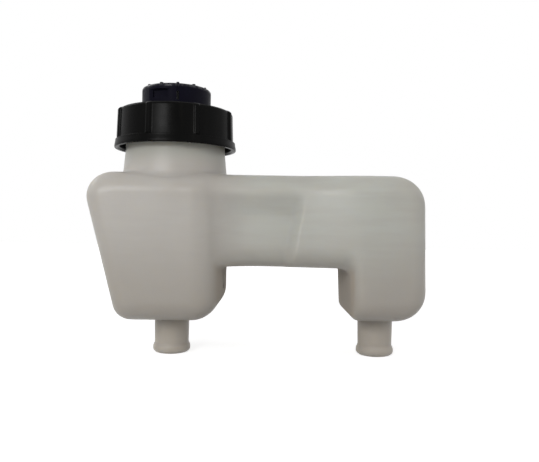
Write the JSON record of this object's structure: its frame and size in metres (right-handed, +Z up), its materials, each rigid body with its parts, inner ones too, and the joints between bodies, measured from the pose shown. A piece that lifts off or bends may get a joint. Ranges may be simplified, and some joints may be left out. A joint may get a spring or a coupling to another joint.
{
  "type": "brake fluid reservoir",
  "caption": "Translucent moulded brake fluid reservoir: chambers joined by a high bridge, hose spigots underneath, and a ribbed screw cap on the filler neck.",
  "frame": {"origin": "middle of the whole part in plan, level with the open ends of the two spigots", "axes": "+X from the filler chamber to the small chamber, +Y from the front in the picture to the back, +Z up towards the cap"},
  "size_m": [0.1318, 0.05, 0.1095],
  "materials": {
    "tank": "natural translucent polyolefin, semi-matt as moulded",
    "strainer": "white, as moulded",
    "gasket": "matt black",
    "inner_cap": "very dark blue, satin",
    "cap_ring": "black, satin with soft sheen"
  },
  "bodies": {
    "tank": {"tank": "tank", "strainer": "strainer"},
    "inner_cap": {"inner_cap": "inner_cap", "vent_baffle": "inner_cap", "neck_gasket": "gasket"},
    "ring": {"cap_ring": "cap_ring"}
  },
  "joints": [
    {"name": "cap_lift", "type": "slide", "parent": "tank", "child": "inner_cap", "axis": [0, 0, 1], "range_m": [0, 0.016]},
    {"name": "ring_turn", "type": "hinge", "parent": "inner_cap", "child": "ring", "pos_m": [-0.0348, 0, 0.092], "axis": [0, 0, 1], "range_deg": [0, 1440]}
  ],
  "couplings": [
    {"joint": "cap_lift", "follows": "ring_turn", "m_per_rad": 0.0006366}
  ]
}
